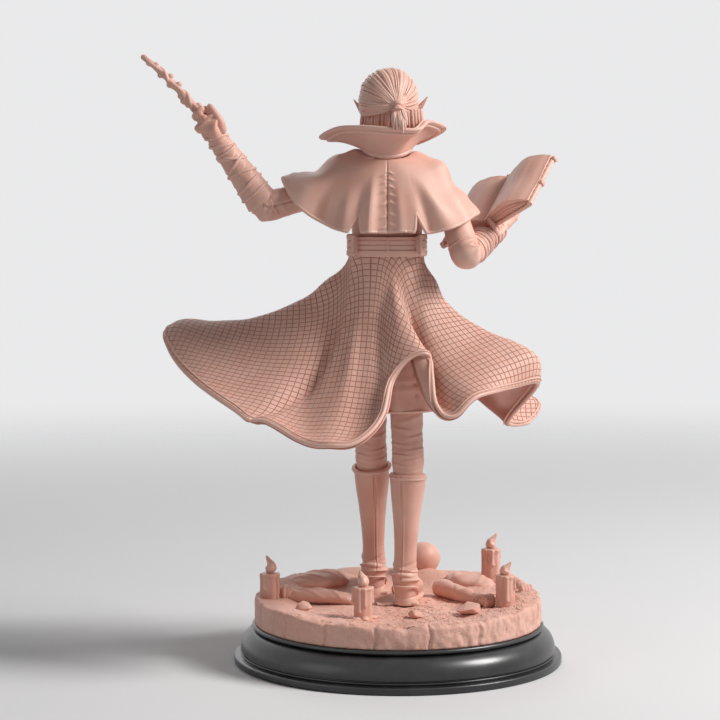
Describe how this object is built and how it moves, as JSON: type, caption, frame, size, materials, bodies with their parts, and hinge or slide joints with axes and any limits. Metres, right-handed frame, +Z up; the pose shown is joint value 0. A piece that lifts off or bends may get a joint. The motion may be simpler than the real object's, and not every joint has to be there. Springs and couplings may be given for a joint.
{
  "type": "display figurine on plinth",
  "caption": "Cast resin figure of a long-coated spell caster with raised wand and open book, standing on a scenic paving disc over a turned black plinth",
  "frame": {"origin": "centre of the plinth's underside, on the table", "axes": "+Z up, +Y the way the figure faces, -X the figure's left, where it holds the wand"},
  "size_m": [0.0578, 0.0456, 0.0836],
  "materials": {
    "cast_resin": "unpainted pinkish-beige casting resin, satin and slightly translucent",
    "black_lacquer": "satin black lacquer"
  },
  "bodies": {
    "root": {"plinth": "black_lacquer", "scenic_base": "cast_resin", "candle_1": "cast_resin", "candle_2": "cast_resin", "candle_3": "cast_resin", "candle_4": "cast_resin", "rubble_1": "cast_resin", "rubble_2": "cast_resin", "rubble_3": "cast_resin", "rubble_4": "cast_resin", "fallen_head": "cast_resin", "fallen_chest": "cast_resin", "fallen_right_arm": "cast_resin", "fallen_left_arm": "cast_resin", "fallen_robe": "cast_resin", "fallen_leg": "cast_resin", "loose_page": "cast_resin", "left_boot": "cast_resin", "right_boot": "cast_resin", "left_leg": "cast_resin", "right_leg": "cast_resin", "tunic": "cast_resin", "torso": "cast_resin", "belt": "cast_resin", "belt_keeper_left": "cast_resin", "belt_keeper_right": "cast_resin", "belt_buckle": "cast_resin", "coat_skirt": "cast_resin", "capelet": "cast_resin", "collar": "cast_resin", "head": "cast_resin", "hair": "cast_resin", "hair_tie": "cast_resin", "ponytail": "cast_resin", "left_sleeve": "cast_resin", "right_sleeve": "cast_resin", "left_forearm": "cast_resin", "right_forearm": "cast_resin", "left_hand": "cast_resin", "right_hand": "cast_resin", "wand": "cast_resin", "book_cover": "cast_resin", "book_pages_left": "cast_resin", "book_pages_right": "cast_resin", "book_clasp": "cast_resin", "book_corner_left": "cast_resin", "book_corner_right": "cast_resin"}
  },
  "joints": []
}
